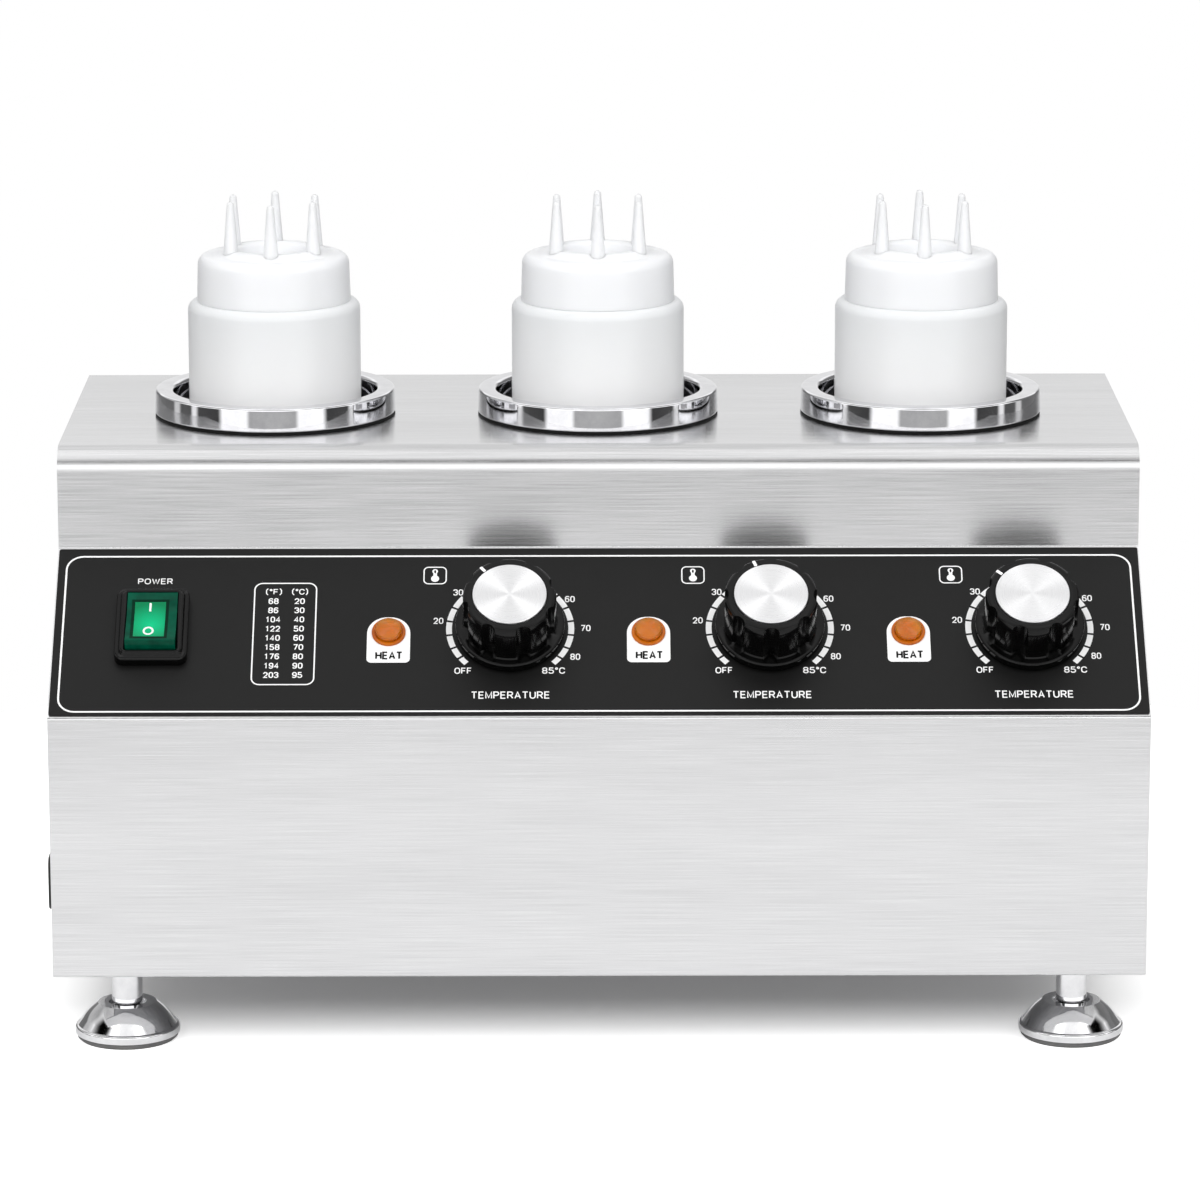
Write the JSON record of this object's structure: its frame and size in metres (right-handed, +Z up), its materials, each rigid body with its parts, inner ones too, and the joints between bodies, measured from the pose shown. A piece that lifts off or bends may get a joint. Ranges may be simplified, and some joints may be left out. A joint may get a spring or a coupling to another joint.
{
  "type": "sauce warmer",
  "caption": "Countertop electric warmer with heated wells for squeeze bottles, a sloped panel of thermostat knobs, heat lamps and a rocker switch, on levelling feet.",
  "frame": {"origin": "on the floor, under the middle of the body", "axes": "+X to the right seen from the front, +Y to the back (the front faces -Y), +Z up"},
  "size_m": [0.453, 0.238, 0.335],
  "materials": {
    "cover_steel": "satin grained",
    "side_steel": "satin grained",
    "panel_steel": "satin grained",
    "overlay_black": "fine satin, printed white",
    "screw_steel": "bright",
    "ring_polished": "mirror polished",
    "cup_steel": "drawn, satin",
    "band_steel": "dull",
    "thermostat_steel": "plated",
    "shaft_brass": "turned",
    "capillary_copper": "drawn",
    "knob_black": "glossy",
    "insert_aluminium": "spun",
    "lens_amber": "glossy, translucent",
    "lamp_white": "matt",
    "switch_black": "semi-gloss",
    "rocker_green": "glossy, translucent, lit",
    "inlet_black": "satin",
    "pin_brass": "bright",
    "terminal_white": "matt",
    "wire_insulation": "satin",
    "foot_bright": "bright plated",
    "pad_rubber": "matt",
    "bottle_milky": "translucent satin",
    "cap_milky": "translucent satin"
  },
  "bodies": {
    "cabinet": {"cover_shell": "cover_steel", "left_side_panel": "side_steel", "right_side_panel": "side_steel", "rear_panel": "panel_steel", "base_plate": "panel_steel", "control_overlay": "overlay_black", "fixing_screws": "screw_steel", "well_ring_left": "ring_polished", "well_ring_middle": "ring_polished", "well_ring_right": "ring_polished", "well_cup_left": "cup_steel", "well_cup_middle": "cup_steel", "well_cup_right": "cup_steel", "heater_band_left": "band_steel", "heater_band_middle": "band_steel", "heater_band_right": "band_steel", "thermostat_left": "thermostat_steel", "thermostat_middle": "thermostat_steel", "thermostat_right": "thermostat_steel", "sensor_bulb_left": "capillary_copper", "sensor_bulb_middle": "capillary_copper", "sensor_bulb_right": "capillary_copper", "lamp_lens_left": "lens_amber", "lamp_lens_middle": "lens_amber", "lamp_lens_right": "lens_amber", "lamp_body_left": "lamp_white", "lamp_body_middle": "lamp_white", "lamp_body_right": "lamp_white", "switch_housing": "switch_black", "power_inlet": "inlet_black", "inlet_pins": "pin_brass", "terminal_block": "terminal_white", "wiring_loom": "wire_insulation", "foot_stems": "foot_bright", "foot_nuts": "foot_bright"},
    "knob_left_set": {"knob_left": "knob_black", "knob_insert_left": "insert_aluminium", "thermostat_shaft_left": "shaft_brass"},
    "knob_middle_set": {"knob_middle": "knob_black", "knob_insert_middle": "insert_aluminium", "thermostat_shaft_middle": "shaft_brass"},
    "knob_right_set": {"knob_right": "knob_black", "knob_insert_right": "insert_aluminium", "thermostat_shaft_right": "shaft_brass"},
    "rocker": {"switch_rocker": "rocker_green"},
    "bottle_left_body": {"bottle_left": "bottle_milky"},
    "cap_left_body": {"bottle_cap_left": "cap_milky"},
    "bottle_middle_body": {"bottle_middle": "bottle_milky"},
    "cap_middle_body": {"bottle_cap_middle": "cap_milky"},
    "bottle_right_body": {"bottle_right": "bottle_milky"},
    "cap_right_body": {"bottle_cap_right": "cap_milky"},
    "foot_front_left": {"foot_cone_front_left": "foot_bright", "foot_pad_front_left": "pad_rubber"},
    "foot_front_right": {"foot_cone_front_right": "foot_bright", "foot_pad_front_right": "pad_rubber"},
    "foot_rear_left": {"foot_cone_rear_left": "foot_bright", "foot_pad_rear_left": "pad_rubber"},
    "foot_rear_right": {"foot_cone_rear_right": "foot_bright", "foot_pad_rear_right": "pad_rubber"}
  },
  "joints": [
    {"name": "knob_left_turn", "type": "hinge", "parent": "cabinet", "child": "knob_left_set", "pos_m": [-0.0366, -0.08321, 0.17274], "axis": [0, -0.6342, 0.7732], "range_deg": [-175, 95]},
    {"name": "knob_middle_turn", "type": "hinge", "parent": "cabinet", "child": "knob_middle_set", "pos_m": [0.0704, -0.08321, 0.17274], "axis": [0, -0.6342, 0.7732], "range_deg": [-157, 113]},
    {"name": "knob_right_turn", "type": "hinge", "parent": "cabinet", "child": "knob_right_set", "pos_m": [0.1774, -0.08321, 0.17274], "axis": [0, -0.6342, 0.7732], "range_deg": [-185, 85]},
    {"name": "rocker_tilt", "type": "hinge", "parent": "cabinet", "child": "rocker", "pos_m": [-0.184, -0.08574, 0.17583], "axis": [1, 0, 0], "range_deg": [0, 16]},
    {"name": "bottle_left_lift", "type": "slide", "parent": "cabinet", "child": "bottle_left_body", "axis": [0, 0, 1], "range_m": [0, 0.15]},
    {"name": "cap_left_lift", "type": "slide", "parent": "bottle_left_body", "child": "cap_left_body", "axis": [0, 0, 1], "range_m": [0, 0.03]},
    {"name": "bottle_middle_lift", "type": "slide", "parent": "cabinet", "child": "bottle_middle_body", "axis": [0, 0, 1], "range_m": [0, 0.15]},
    {"name": "cap_middle_lift", "type": "slide", "parent": "bottle_middle_body", "child": "cap_middle_body", "axis": [0, 0, 1], "range_m": [0, 0.03]},
    {"name": "bottle_right_lift", "type": "slide", "parent": "cabinet", "child": "bottle_right_body", "axis": [0, 0, 1], "range_m": [0, 0.15]},
    {"name": "cap_right_lift", "type": "slide", "parent": "bottle_right_body", "child": "cap_right_body", "axis": [0, 0, 1], "range_m": [0, 0.03]},
    {"name": "foot_front_left_level", "type": "slide", "parent": "cabinet", "child": "foot_front_left", "axis": [0, 0, 1], "range_m": [-0.01, 0]},
    {"name": "foot_front_right_level", "type": "slide", "parent": "cabinet", "child": "foot_front_right", "axis": [0, 0, 1], "range_m": [-0.01, 0]},
    {"name": "foot_rear_left_level", "type": "slide", "parent": "cabinet", "child": "foot_rear_left", "axis": [0, 0, 1], "range_m": [-0.01, 0]},
    {"name": "foot_rear_right_level", "type": "slide", "parent": "cabinet", "child": "foot_rear_right", "axis": [0, 0, 1], "range_m": [-0.01, 0]}
  ]
}
